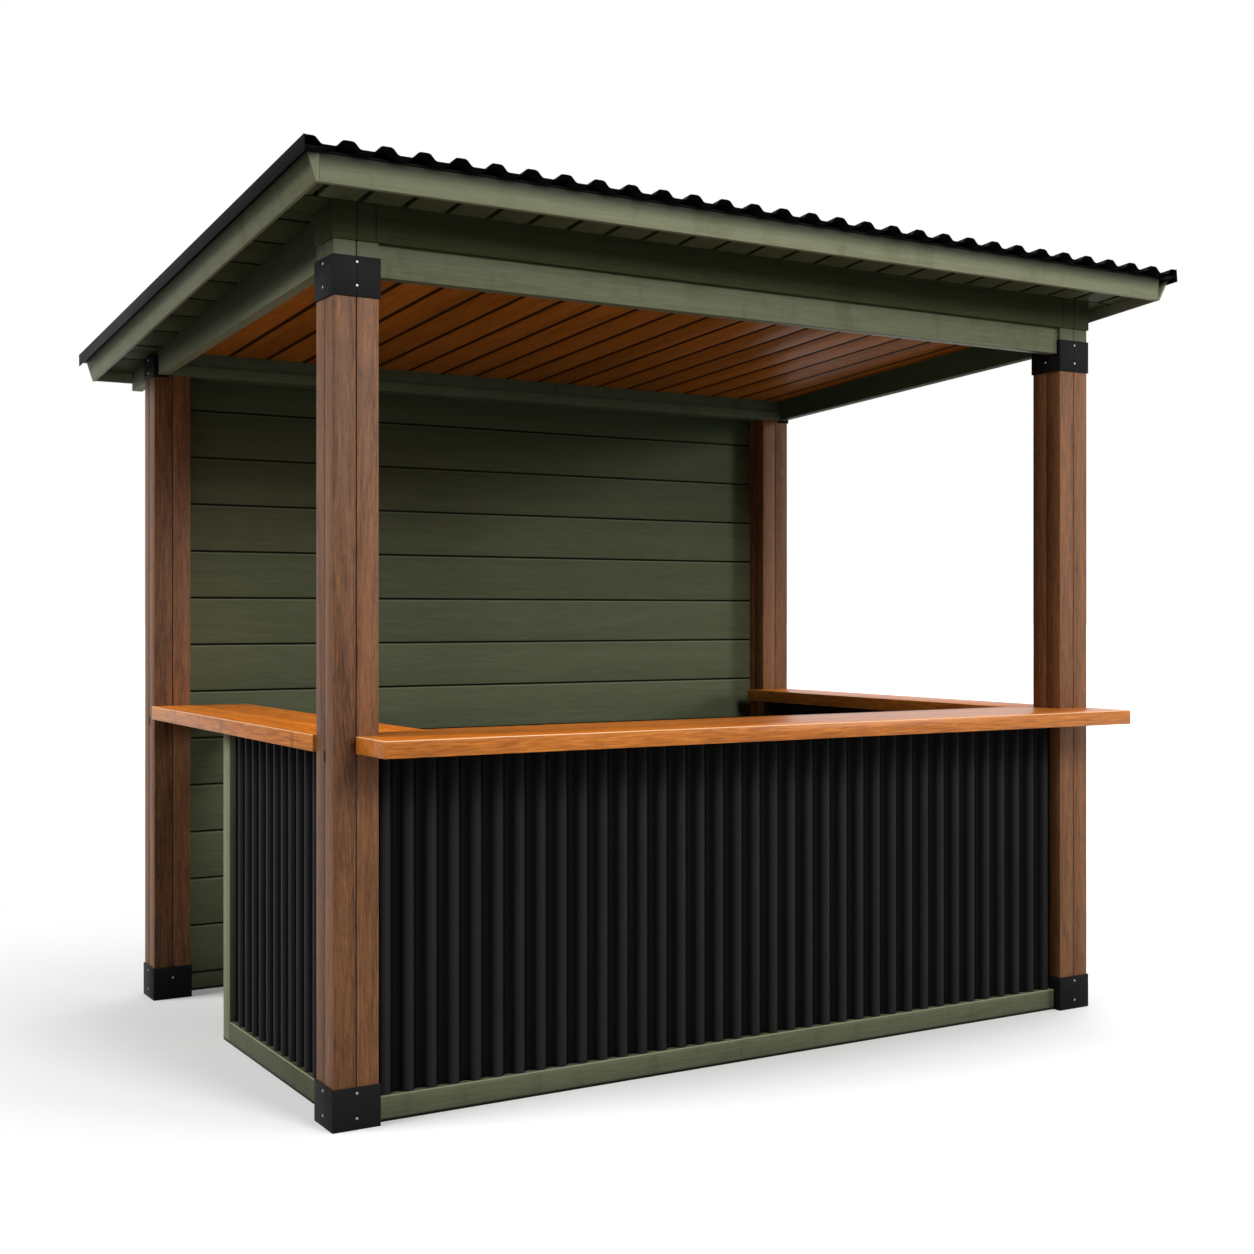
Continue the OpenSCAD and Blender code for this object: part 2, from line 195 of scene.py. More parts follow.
class Value:
    def __init__(self, tree, socket):
        self.tree, self.socket = tree, socket

    def node(self, kind, settings=None, inputs=None, output=0):
        made = self.tree.nodes.new(kind)
        for key, setting in (settings or {}).items():
            if key == "stops":
                for i, (place, stop) in enumerate(setting):
                    element = made.color_ramp.elements[i] if i < 2 else made.color_ramp.elements.new(place)
                    element.position, element.color = place, stop
            else:
                setattr(made, key, setting)
        for key, given in (inputs or {}).items():
            if isinstance(given, Value):
                self.tree.links.new(given.socket, made.inputs[key])
            else:
                made.inputs[key].default_value = given
        return Value(self.tree, made.outputs[output])

    def math(self, operation, first, second=0.0):
        return self.node("ShaderNodeMath", {"operation": operation}, {0: first, 1: second})

    def __add__(self, other): return self.math("ADD", self, other)
    def __radd__(self, other): return self.math("ADD", other, self)
    def __sub__(self, other): return self.math("SUBTRACT", self, other)
    def __rsub__(self, other): return self.math("SUBTRACT", other, self)
    def __mul__(self, other): return self.math("MULTIPLY", self, other)
    def __rmul__(self, other): return self.math("MULTIPLY", other, self)
    def __truediv__(self, other): return self.math("DIVIDE", self, other)
    def __rtruediv__(self, other): return self.math("DIVIDE", other, self)
    def __abs__(self): return self.math("ABSOLUTE", self)
    def __gt__(self, other): return self.math("GREATER_THAN", self, other)
    def __lt__(self, other): return self.math("LESS_THAN", self, other)

    def axis(self, index):
        return self.node("ShaderNodeSeparateXYZ", {}, {0: self}, index)

    def mix(self, low, high):
        return self.node("ShaderNodeMix", {"data_type": "RGBA"}, {0: self, 6: low, 7: high}, 2)

    def times(self, factors):  # a colour times three factors
        return self.node("ShaderNodeVectorMath", {"operation": "MULTIPLY"}, {0: self, 1: factors})

    def smoothStep(self, low, high):
        return self.node("ShaderNodeMapRange", {"interpolation_type": "SMOOTHSTEP"},
                         {"Value": self, "From Min": low, "From Max": high})

    def noise(self, scale, detail=3.0, roughness=0.55, distortion=0.0):
        return self.node("ShaderNodeTexNoise", {}, {"Vector": self, "Scale": scale, "Detail": detail,
                                                    "Roughness": roughness, "Distortion": distortion})

    def stretched(self, scale):
        return self.node("ShaderNodeMapping", {}, {"Vector": self, "Scale": scale})

    def random(self):
        return self.node("ShaderNodeTexWhiteNoise", {"noise_dimensions": "1D"}, {"W": self})


def newFinish(name):
    material = bpy.data.materials.new(name)
    material.use_nodes = True
    tree = material.node_tree
    shader = tree.nodes["Principled BSDF"]
    coords = Value(tree, tree.nodes.new("ShaderNodeTexCoord").outputs["Object"])
    return material, shader, coords


def feed(value, shader, name):
    value.tree.links.new(value.socket, shader.inputs[name])


def bumpInto(shader, height, strength, distance):
    normal = height.node("ShaderNodeBump", {}, {"Strength": strength, "Distance": distance, "Height": height})
    feed(normal, shader, "Normal")


# timber with fibres and growth figure along one axis

# The olive tones are copies of one olive paint: soffit (soffits and frieze), frontSoffit and innerBeam are darker
# copies as painted shade, beam a paler copy as painted light.
timberTones = {  # light and dark tone of each stain, oil and paint
    "post": ("875B3B", "402612"), "ceiling": ("B26C29", "784716"), "deck": ("8A7350", "6B5638"),
    "frontCounter": ("D28030", "985216"), "sideCounter": ("D68332", "9C5418"),
    "front": ("696C56", "51543F"), "side": ("585B46", "434634"), "upright": ("84886D", "6A6E53"),
    "beam": ("8B8E74", "6F7259"), "innerBeam": ("485843", "34422F"), "outerBeam": ("6F7259", "585B44"),
    "innerHeader": ("5C6651", "454E3B"), "innerTrim": ("66725B", "4E5A45"), "fascia": ("80826B", "66694F"),
    "wall": ("656B52", "4F553F"), "soffit": ("40452F", "2C311C"), "frontSoffit": ("545840", "40442E"),
}
jointLooks = {  # width and tone of the dark joints between boards
    "wall": (0.0068, "1C1F14"), "sideSoffit": (0.014, "0A0B06"),
    "frontSoffit": (0.016, "0C0D08"), "ceiling": (0.020, "371D0A"),
}
woodGrain = {
    "stretch": 0.06, "broad": 16.0, "fine": 190.0, "rings": 60.0, "waver": 3.0,  # scales of the figure and its fibres
    "broadShare": 2.2, "ringShare": 0.35, "fineShare": 1.6, "darkEnd": 0.1, "lightEnd": 0.9,
    "cloud": 0.35, "boardShift": 7.0, "seedStep": 1.37,
    "fleckStretch": 0.22, "fleck": 75.0, "stainStretch": 0.35, "stain": 11.0, "stainFrom": 0.48, "stainTo": 0.72,
    # pale lines beside joints and along upper edges are painted highlights; upward is the normal's height that takes
    # the painted light on upper faces
    "jointHighlightWide": 0.005, "jointHighlight": 0.45, "highlightHigh": 0.0024, "highlightWide": 0.0030, "highlightShare": 0.75, "upward": 0.7,
    # joint tone, tone of the painted contact shadow at the ground, roughness spread and bump depth
    "jointTone": "0B0C07", "contactShadowTone": "0E0F0A", "sheen": 0.25, "relief": 0.002,
}


def boardShade(coords, across, origin, pitch):  # one random number for each board across an axis
    index = coords.math("FLOOR", (coords.axis(across) - origin) / pitch)
    return (index * woodGrain["seedStep"] + 0.5).random()


def stretchAlong(axis, amount):
    return [amount if i == axis else 1.0 for i in range(3)]


def toned(amount, tones):
    light, dark = (colour(code) for code in timberTones[tones])
    stops = [(woodGrain["darkEnd"], dark), (woodGrain["lightEnd"], light)]
    return amount.node("ShaderNodeValToRGB", {"stops": stops}, {"Fac": amount})


# spread gives each board its own tone, gloss is the specular level
def timberFinish(name, tones, along, boards=None, spread=0.25, figure=0.55, fibre=0.35, roughness=0.5, bump=0.25,
                 gloss=0.15, flecks=0.0, stain=0.0, outer=None, paintAbove=None, joints=(), grooves=None, jointHighlight=None,
                 marks=None, paintedShade=None, contactShadow=None, paintedTopLight=None, paintedEdgeHighlight=None):
    material, shader, coords = newFinish(name)
    w = woodGrain
    tone = boardShade(coords, *boards) if boards else coords.noise(w["cloud"], 1.0)
    shift = coords.node("ShaderNodeCombineXYZ", {}, {i: tone * w["boardShift"] for i in range(3)})
    moved = coords.node("ShaderNodeVectorMath", {"operation": "ADD"}, {0: coords, 1: shift})
    grain = moved.stretched(stretchAlong(along, w["stretch"]))
    broad = grain.noise(w["broad"], 4.0, 0.6, 0.6)
    fine = grain.noise(w["fine"], 3.0, 0.65, 0.2)
    rings = grain.math("SINE", (broad * w["rings"]) + (fine * w["waver"])) * 0.5 + 0.5
    amount = (broad - 0.5) * (figure * w["broadShare"]) + (rings - 0.5) * (figure * w["ringShare"])
    amount = amount + (fine - 0.5) * (fibre * w["fineShare"]) + (tone - 0.5) * spread + 0.5
    if flecks:  # short broken fibres
        short = moved.stretched(stretchAlong(along, w["fleckStretch"])).noise(w["fleck"], 4.0, 0.7, 1.2)
        amount = amount + (short - 0.5) * flecks
    if stain:  # weathered blotches that run down
        blotch = coords.stretched(stretchAlong(2, w["stainStretch"])).noise(w["stain"], 4.0, 0.65, 0.4)
        amount = amount - blotch.smoothStep(w["stainFrom"], w["stainTo"]) * stain
    shade = toned(amount, tones)
    if outer:  # the right beam's inner face has the darker inner tones, painted shade; its outward face has a paler tone like the other outer timbers
        place, outerTones = outer
        shade = (coords.axis(0) > place).mix(shade, toned(amount, outerTones))
    if paintAbove:
        level, paint = paintAbove
        shade = (coords.axis(2) > level).mix(shade, colour(paint))
    for axis, place, width in joints:  # fine joint lines across an axis, the same on both sides of the middle
        line = abs(abs(coords.axis(axis)) - place) < width / 2
        shade = line.mix(shade, colour(w["jointTone"]))
    if grooves:  # dark joints between boards that lie side by side
        axis, origin, pitch, kind = grooves
        width, ink = jointLooks[kind]
        part = coords.math("FRACT", (coords.axis(axis) - origin) / pitch)
        reach = part.math("MINIMUM", part, 1.0 - part) * pitch
        if jointHighlight:  # painted highlight: a pale edge beside each joint, where the board's edge would catch the light
            edge = (1.0 - part) * pitch
            beside = (edge > width / 2) * (edge < width / 2 + w["jointHighlightWide"])
            shade = (beside * w["jointHighlight"]).mix(shade, colour(jointHighlight))
        shade = reach.smoothStep(width * 0.35, width * 0.65).mix(colour(ink), shade)
    if marks:  # joints seen on one outer edge only
        for place, width in marks["places"]:
            line = (abs(coords.axis(along) - place) < width / 2) * (coords.axis(0) < marks["limit"])
            shade = line.mix(shade, colour(marks["tone"]))
    if paintedShade:  # painted shade: darker towards the underside of the roof
        start, fall, height, factors = paintedShade
        rise = (coords.axis(2) + coords.axis(1) * fall - start) / height
        shade = rise.smoothStep(0.0, 1.0).mix(shade, shade.times(factors))
    if contactShadow:  # painted contact shadow: a dark line where the timber meets the ground
        shade = coords.axis(2).smoothStep(contactShadow * 0.4, contactShadow).mix(colour(w["contactShadowTone"]), shade)
    if paintedTopLight:  # painted light: upper faces are made paler than the edges
        tree = material.node_tree
        upward = Value(tree, tree.nodes.new("ShaderNodeNewGeometry").outputs["Normal"]).axis(2)
        shade = (upward > w["upward"]).mix(shade, shade.times(paintedTopLight))
    if paintedEdgeHighlight:  # painted highlight: paler lines along the upper edges
        top, edges, ink = paintedEdgeHighlight
        for axis, place in edges:
            highlit = (abs(coords.axis(2) - top) < w["highlightHigh"]) * (abs(coords.axis(axis) - place) < w["highlightWide"])
            shade = (highlit * w["highlightShare"]).mix(shade, colour(ink))
    feed(shade, shader, "Base Color")
    feed((fine - 0.5) * w["sheen"] + roughness, shader, "Roughness")
    shader.inputs["Specular IOR Level"].default_value = gloss
    bumpInto(shader, fine * 0.6 + broad * 0.4, bump, w["relief"])
    return material


# black sheet and plate, and zinc

# valley, ribFrom and the shade keys set the painted light on the crests and the painted shadow under the counter
blackLook = {"cloud": 3.0, "valley": "060606", "ribFrom": 0.30, "shadeFrom": 0.17, "shadeTo": 0.02, "shade": 0.85,
             "seam": "050505", "seamWide": 0.0013, "relief": 0.0004}
zincLook = {"dust": 400.0, "dark": "747472", "light": "A4A4A0", "roughness": 0.25, "spread": 0.25}


def blackFinish(name, base, sheen, roughness, gloss, mottle=180.0, bump=0.05, seams=None, paintedRibLight=None):
    material, shader, coords = newFinish(name)
    b = blackLook
    cloud = coords.noise(b["cloud"], 3.0)
    speck = coords.noise(mottle, 2.0, 0.7)
    shade = cloud.mix(colour(base), colour(sheen))
    if paintedRibLight:  # painted light and shade: the crests are painted lighter than the valleys, as lit bands, and all of it is painted darker in the counter's shadow
        axis, valley, crest = paintedRibLight
        lift = ((coords.axis(axis) - valley) / (crest - valley)).smoothStep(b["ribFrom"], 1.0)
        under = coords.axis(2).smoothStep(counterLow.z - b["shadeFrom"], counterLow.z - b["shadeTo"])
        shade = (lift * (1.0 - under * b["shade"])).mix(colour(b["valley"]), shade)
    if seams:  # the line where the two halves of a collar meet
        place, level = seams
        line = (abs(abs(coords.axis(0)) - place) < b["seamWide"]) * (coords.axis(2) > level)
        shade = line.mix(shade, colour(b["seam"]))
    feed(shade, shader, "Base Color")
    feed((cloud - 0.5) * 0.2 + (speck - 0.5) * 0.15 + roughness, shader, "Roughness")
    shader.inputs["Specular IOR Level"].default_value = gloss
    bumpInto(shader, speck, bump, b["relief"])
    return material


def zincFinish(name):
    material, shader, coords = newFinish(name)
    z = zincLook
    dust = coords.noise(z["dust"], 2.0)
    feed(dust.mix(colour(z["dark"]), colour(z["light"])), shader, "Base Color")
    feed(dust * z["spread"] + z["roughness"], shader, "Roughness")
    shader.inputs["Metallic"].default_value = 1.0
    return material


# boards of the wall, the ceiling and the soffits: their joints show in the finishes too

wallBoards = {"pitch": 0.166, "gap": 0.007, "depth": 0.012, "edge": 0.0025, "least": 0.010}
lining = {"ceilingPitch": 0.1358, "ceilingGap": 0.005, "ceilingThick": 0.012, "ceilingEdge": 0.0025,
          "frontPitch": 0.1217, "frontGap": 0.015, "sidePitch": 0.205, "sideGap": 0.008,
          "soffitThick": 0.015, "soffitEdge": 0.0012, "least": 0.002}


def evenPitch(length, pitch):  # the pitch of whole boards, near the asked one
    return length / max(1, round(length / pitch))


def shadeUnderRoof(height, factor):  # painted shade below the roof's edge, and how dark it gets
    return (fasciaHigh.z - height + fasciaLow.y * roofFall, roofFall, height, (factor, factor, factor))


frontPitch = evenPitch(deckHigh.x - deckLow.x, lining["frontPitch"])
sidePitch = evenPitch(sideHigh.y - sideLow.y, lining["sidePitch"])
wallCourse = (2, wallLow.z, wallBoards["pitch"])
wallJoints = (2, wallLow.z + wallBoards["gap"] / 2, wallBoards["pitch"], "wall")
frontCourse = (0, deckLow.x + frontPitch / 2, frontPitch)
ceilingCourse = (0, backHigh.x, evenPitch(-2 * backHigh.x, lining["ceilingPitch"]))
outerHalf = (0, -postX, 10.0)  # the outer halves of the left posts have a tone of their own
oneTone = (2, 0.0, 3.0)

# height of the painted contact shadow at the ground
contactShadowHeight = 0.012
# painted highlights along the upper edges of the sills and counters
paintHighlight, woodHighlight = "9A9E80", "F2C596"
sillHighlight = (sillHigh.z, ((1, sillLow.y),), paintHighlight)
sideSillHighlight = (sillHigh.z, ((0, studLow.x), (0, -studLow.x)), paintHighlight)
frontCounterHighlight = (counterHigh.z, ((1, counterLow.y), (0, counterLow.x)), woodHighlight)
sideCounterHighlight = (counterHigh.z, ((0, leftCounterLow.x), (0, rightCounterHigh.x)), woodHighlight)
counterMarks = {"limit": leftCounterLow.x + 0.002, "tone": "5A3218",
                "places": ((0.4835, 0.0055), (0.224, 0.0055), (0.001, 0.0048),  # place along the counter and width
                           (-0.018, 0.0062), (-0.636, 0.0055), (-0.650, 0.0042))}
friezeJoints = ((0, postX, 0.0026), (0, postX - postWidth * 0.42, 0.0020), (1, postY, 0.0024))
# painted shade: beam faces darker towards their tops, the wall darker towards the ceiling
beamTopShade = (beamLow.z + beamHigh.y * beamFall + 0.004, beamFall, 0.060, (0.30, 0.30, 0.30))
wallTopShade = (1.70, 0.0, 0.50, (0.52, 0.62, 0.54))

painted = {"figure": 0.32, "fibre": 0.50, "gloss": 0.05, "stain": 0.30}
wallPaint = {**painted, "gloss": 0.03, "stain": 0.0}
shadePaint = {**painted, "gloss": 0.02, "stain": 0.15}
sideTimber = {"boards": (0, 0.0, 0.2), "spread": 0.12}
oiled = {"figure": 0.6, "fibre": 1.15, "roughness": 0.32, "bump": 0.10, "gloss": 0.22}
finishes = {
    "post": timberFinish("stainedPostWood", "post", 2, boards=outerHalf, figure=0.45, fibre=0.6, flecks=0.8,
                         bump=0.4, gloss=0.18, paintAbove=(collarHigh.z - 0.01, "4C503A")),
    "oliveX": timberFinish("olivePaintAlongFront", "front", 0, boards=wallCourse, spread=0.18,
                           contactShadow=contactShadowHeight, paintedEdgeHighlight=sillHighlight, **painted),
    "oliveY": timberFinish("olivePaintAlongSide", "side", 1, contactShadow=contactShadowHeight, paintedEdgeHighlight=sideSillHighlight,
                           **sideTimber, **painted),
    "oliveZ": timberFinish("olivePaintUpright", "upright", 2, contactShadow=contactShadowHeight, **painted),
    "beam": timberFinish("olivePaintBeam", "beam", 1, paintedShade=beamTopShade, **sideTimber, **shadePaint),
    "innerBeam": timberFinish("olivePaintInnerBeam", "innerBeam", 1, outer=(-beamLow.x - 0.004, "outerBeam"),
                              **shadePaint),
    "innerHeader": timberFinish("olivePaintInnerHeader", "innerHeader", 0, **shadePaint),
    "innerTrim": timberFinish("olivePaintInnerTrim", "innerTrim", 0, **shadePaint),
    # barge and fascia: painted shade below the roof's edge
    "barge": timberFinish("olivePaintBarge", "fascia", 1, paintedShade=shadeUnderRoof(0.050, 0.55), **sideTimber, **painted),
    "fascia": timberFinish("olivePaintFascia", "fascia", 0, boards=oneTone, spread=0.1,
                           paintedShade=shadeUnderRoof(0.052, 0.12), **painted),
    "wall": timberFinish("olivePaintWall", "wall", 0, boards=wallCourse, spread=0.2, grooves=wallJoints,
                         jointHighlight="858B6E", paintedShade=wallTopShade, **wallPaint),
    "soffitX": timberFinish("olivePaintSideSoffit", "soffit", 0, boards=(1, deckLow.y, sidePitch), spread=0.2,
                            grooves=(1, sideLow.y, sidePitch, "sideSoffit"), **shadePaint),
    "soffitY": timberFinish("olivePaintFrontSoffit", "frontSoffit", 1, boards=frontCourse, spread=0.2,
                            grooves=(*frontCourse, "frontSoffit"), **shadePaint),
    "frieze": timberFinish("olivePaintFrieze", "soffit", 0, boards=wallCourse, spread=0.18,
                           joints=friezeJoints, **shadePaint),
    "ceiling": timberFinish("stainedCeilingBoards", "ceiling", 1, boards=ceilingCourse, spread=0.3,
                            grooves=(*ceilingCourse, "ceiling"), figure=0.45, fibre=0.85, roughness=0.42,
                            bump=0.15, gloss=0.012),
    # counters: painted light on the upper faces and painted highlights along the upper edges
    "counterX": timberFinish("oiledCounterAlongFront", "frontCounter", 0, boards=(1, 0.0, 0.118),
                             paintedTopLight=(1.18, 1.06, 0.80), paintedEdgeHighlight=frontCounterHighlight, **oiled),
    "counterY": timberFinish("oiledCounterAlongSide", "sideCounter", 1, boards=(0, 0.0, 0.110), marks=counterMarks,
                             paintedTopLight=(1.45, 1.30, 0.95), paintedEdgeHighlight=sideCounterHighlight, **{**oiled, "gloss": 0.12}),
    "deck": timberFinish("deckPlywood", "deck", 0, roughness=0.7),
    "sheet": blackFinish("blackCoatedSheet", "0C0C0C", "131313", 0.62, 0.015),
    "trim": blackFinish("blackFoldedTrim", "0A0A0A", "111111", 0.50, 0.02, mottle=260.0, bump=0.35),
    "plate": blackFinish("blackPowderCoat", "181818", "222222", 0.45, 0.02, mottle=500.0, bump=0.25,
                         seams=(postX, 1.0)),
    "zinc": zincFinish("zincScrew"),
}
for side, axis in (("front", 1), ("left", 0), ("right", 0)):
    low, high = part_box(side + "_cladding")
    valley, crest = (low, high) if side == "right" else (high, low)
    finishes[side + "_cladding"] = blackFinish("blackSheet" + side.capitalize(), "202020", "282828", 0.40, 0.03,
                                               bump=0.01, paintedRibLight=(axis, valley[axis], crest[axis]))
print("finishes made:", len(finishes))


# straight timbers and plates keep the shape of their solids, with worked edges

workedEdges = {  # finish, slot and width of the worked edge
    "front_header": ("oliveX", "olive_paint", 0.0025),
    "front_top_plate": ("frieze", "olive_paint", 0.0025),
    "left_side_beam": ("beam", "olive_paint", 0.0025),
    "right_side_beam": ("innerBeam", "olive_paint", 0.0025),
    "back_header": ("innerHeader", "olive_paint", 0.002),
    "front_fascia": ("fascia", "olive_paint", 0.002),
    "back_fascia": ("fascia", "olive_paint", 0.002),
    "back_sill": ("oliveX", "olive_paint", 0.003),
    "front_sill": ("oliveX", "olive_paint", 0.003),
    "left_sill": ("oliveY", "olive_paint", 0.003),
    "right_sill": ("oliveY", "olive_paint", 0.003),
    "front_rail": ("plate", "steel_plate", 0.002),
    "left_rail": ("plate", "steel_plate", 0.002),
    "right_rail": ("plate", "steel_plate", 0.002),
    "front_counter": ("counterX", "counter_wood", 0.0022),
    "left_counter": ("counterY", "counter_wood", 0.0022),
    "right_counter": ("counterY", "counter_wood", 0.0022),
    "roof_deck": ("deck", "deck_board", 0.001),
    "left_verge_trim": ("trim", "black_sheet", 0.0006),
    "right_verge_trim": ("trim", "black_sheet", 0.0006),
}
for corner in corners:
    workedEdges[corner + "_boot"] = ("plate", "steel_plate", 0.0012)
    workedEdges[corner + "_collar"] = ("plate", "steel_plate", 0.0012)

for node, (finish, slot, edge) in workedEdges.items():
    piece = cadCopy(node, node + "_worked")
    roundEdges(piece, edge)
    smooth(piece)
    finishPiece(piece, finishes[finish], slot, node)
print("worked timbers and plates:", len(workedEdges))


# barges lean out to the trim: the left one is one tapered board, the right one a thin cover over an upright board,
# open at its ends

bargeSizes = {"inner": 0.004, "cover": 0.010, "leftLean": 0.022, "rightLean": 0.040, "clear": 0.002, "edge": 0.0012}


def leaningBarge(side):
    b = bargeSizes
    low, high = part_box(side + "_barge")
    bottom, top = fasciaLow.z, fasciaHigh.z - b["clear"]
    if side == "left":
        face, out = high.x, -1
        leans = ((b["leftLean"], b["cover"]),)
    else:
        face, out = low.x, 1
        leans = ((0.0, b["inner"]), (b["rightLean"], b["cover"]))
    planks = []
    for lean, wide in leans:
        x0, x1 = sorted((face, face + out * wide))
        plank = board("plank", (x0, low.y, bottom), (x1, high.y, top))
        if lean:  # the left board keeps its inner face upright
            editSome(plank, "VERT", lambda point: point.co.z > (bottom + top) / 2
                     and (side == "right" or point.co.x < face - near))
            bpy.ops.transform.translate(value=(out * lean, 0, 0))
            endEdit()
        roundEdges(plank, b["edge"])
        planks.append(plank)
    barge = joinPieces(*planks)
    barge.name = side + "_barge_boards"
    slopeDown(barge, roofFall, fasciaLow.y)
    smooth(barge)
    return finishPiece(barge, finishes["barge"], "olive_paint", side + "_barge")


leaningBarge("left")
leaningBarge("right")
print("barges made")


# posts: four square timbers bolted together, with a fine gap between them

postTimbers = {"gap": 0.0018, "edge": 0.0022, "underCollar": 0.001}


def gluedPost(corner):  # a back post ends inside its collar
    low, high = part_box(corner + "_post")
    top = high.z if corner.startswith("front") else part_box(corner + "_collar")[1].z - postTimbers["underCollar"]
    middle = (low + high) / 2
    half = postTimbers["gap"] / 2
    quarters = []
    for x0, x1 in ((low.x, middle.x - half), (middle.x + half, high.x)):
        for y0, y1 in ((low.y, middle.y - half), (middle.y + half, high.y)):
            quarter = board("quarter", (x0, y0, low.z), (x1, y1, top))
            roundEdges(quarter, postTimbers["edge"])
            quarters.append(quarter)
    post = joinPieces(*quarters)
    post.name = corner + "_post_timbers"
    smooth(post)
    return finishPiece(post, finishes["post"], "post_wood", corner + "_post")


for corner in corners:
    gluedPost(corner)
print("posts made")


# back wall: boards on both faces of a thin core

def boardedWall():
    w = wallBoards
    core = board("backWallBoards", (wallLow.x, wallLow.y + w["depth"], wallLow.z),
                 (wallHigh.x, wallHigh.y - w["depth"], wallHigh.z))
    faces = []
    for y0 in (wallLow.y, wallHigh.y - w["depth"]):
        for i in range(ceil((wallHigh.z - wallLow.z) / w["pitch"])):
            low = wallLow.z + i * w["pitch"] + (w["gap"] if i else 0)
            high = min(wallLow.z + (i + 1) * w["pitch"], wallHigh.z)
            if high - low > w["least"]:
                plank = board("plank", (wallLow.x, y0, low), (wallHigh.x, y0 + w["depth"], high))
                roundEdges(plank, w["edge"])
                faces.append(plank)
    wall = joinPieces(core, *faces)
    smooth(wall)
    return finishPiece(wall, finishes["wall"], "olive_paint", "back_wall")


boardedWall()
print("back wall boarded")


# strip along the lower half of the back header, and the tabs of the counter brackets in the outer seams of the posts

headerStrip = {"height": 0.036, "proud": 0.006, "edge": 0.002}
bracketTab = {"wide": 0.008, "high": 0.030, "proud": 0.0015, "sunk": 0.004, "level": 0.946, "edge": 0.0007}


def headerTrim():
    low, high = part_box("back_header")
    strip = board("backHeaderStrip", (low.x, low.y - headerStrip["proud"], low.z),
                  (high.x, low.y, low.z + headerStrip["height"]))
    roundEdges(strip, headerStrip["edge"])
    smooth(strip)
    return finishPiece(strip, finishes["innerTrim"], "olive_paint")


def counterTabs():
    t = bracketTab
    tabs = []
    for corner in corners:
        low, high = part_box(corner + "_post")
        y = (low.y + high.y) / 2
        x0, x1 = high.x - t["sunk"], high.x + t["proud"]
        if corner.endswith("left"):
            x0, x1 = low.x - t["proud"], low.x + t["sunk"]
        tab = board("tab", (x0, y - t["wide"] / 2, t["level"]), (x1, y + t["wide"] / 2, t["level"] + t["high"]))
        roundEdges(tab, t["edge"])
        tabs.append(tab)
    piece = joinPieces(*tabs)
    piece.name = "counterBracketTabs"
    smooth(piece)
    return finishPiece(piece, finishes["plate"], "steel_plate")


headerTrim()
counterTabs()
print("header strip and bracket tabs made")


# end stud of the left side

studEdge = 0.003


def endStud():
    stud = board("leftEndStud", studLow, studHigh)
    roundEdges(stud, studEdge)
    smooth(stud)
    return finishPiece(stud, finishes["oliveZ"], "olive_paint", "left_end_stud")


endStud()
print("end stud made")


# ceiling and soffits: boards with open joints, laid on the slope

def laidBoards(name, spans, z0, thick, edge, fall, atY):  # spans are (x0, x1, y0, y1)
    made = []
    for x0, x1, y0, y1 in spans:
        plank = board(name, (x0, y0, z0), (x1, y1, z0 + thick))
        roundEdges(plank, edge)
        made.append(plank)
    piece = joinPieces(*made)
    slopeDown(piece, fall, atY)
    smooth(piece)
    return piece


def steps(low, high, pitch, gap):  # whole boards between two ends, with open joints between them
    wide = evenPitch(high - low, pitch)
    count = round((high - low) / wide)
    spans = []
    for i in range(count):
        start = low + i * wide + (gap / 2 if i else 0)
        end = low + (i + 1) * wide - (gap / 2 if i < count - 1 else 0)
        spans.append((start, end))
    return spans


def halfSteps(low, high, pitch, gap):  # the same boards moved by half a board, with a narrow one at each end
    wide = evenPitch(high - low, pitch)
    return [(max(a, low), min(b, high)) for a, b in steps(low - wide / 2, high + wide / 2, wide, gap)]


def ceilingLining():
    n = lining
    low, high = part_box("ceiling_boards")
    inner, thick, gap = backHigh.x, n["ceilingThick"], n["ceilingGap"]
    fall = (high.z - low.z - thick) / (high.y - low.y)
    spans = [(a, b, low.y, high.y) for a, b in steps(inner, -inner, n["ceilingPitch"], gap)]
    spans += [(low.x, inner - gap, low.y, backLow.y), (-inner + gap, high.x, low.y, backLow.y)]
    piece = laidBoards("ceilingLining", spans, high.z - thick, thick, n["ceilingEdge"], fall, low.y)
    return finishPiece(piece, finishes["ceiling"], "ceiling_wood", "ceiling_boards")


def endSpans(node):  # boards of the front or back soffit
    low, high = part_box(node)
    return [(a, b, low.y, high.y) for a, b in halfSteps(low.x, high.x, lining["frontPitch"], lining["frontGap"])]


def sideSpans(sign):  # boards of a side soffit, cut round the front plate and the back post
    zones = ((sideLow.y, postHigh.y, plateLow.x), (postHigh.y, backLow.y, sideHigh.x),
             (backLow.y, backHigh.y, postLow.x), (backHigh.y, sideHigh.y, sideHigh.x))
    spans = []
    for a, b in steps(sideLow.y, sideHigh.y, lining["sidePitch"], lining["sideGap"]):
        for start, end, inner in zones:
            y0, y1 = max(a, start), min(b, end)
            if y1 - y0 > lining["least"]:
                spans.append((sideLow.x, inner, y0, y1) if sign < 0 else (-inner, -sideLow.x, y0, y1))
    return spans


def soffitLining(node, spans, finish):
    low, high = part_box(node)
    thick = lining["soffitThick"]
    piece = laidBoards(node + "_boards", spans, high.z - thick, thick, lining["soffitEdge"], roofFall, low.y)
    return finishPiece(piece, finishes[finish], "olive_paint", node)


ceilingLining()
soffitLining("front_soffit", endSpans("front_soffit"), "soffitY")
soffitLining("back_soffit", endSpans("back_soffit"), "soffitY")
soffitLining("left_soffit", sideSpans(-1), "soffitX")
soffitLining("right_soffit", sideSpans(1), "soffitX")
print("ceiling and soffits laid")


# ribbed sheets: one rib drawn out edge by edge, repeated, its bends rounded, then given its thickness

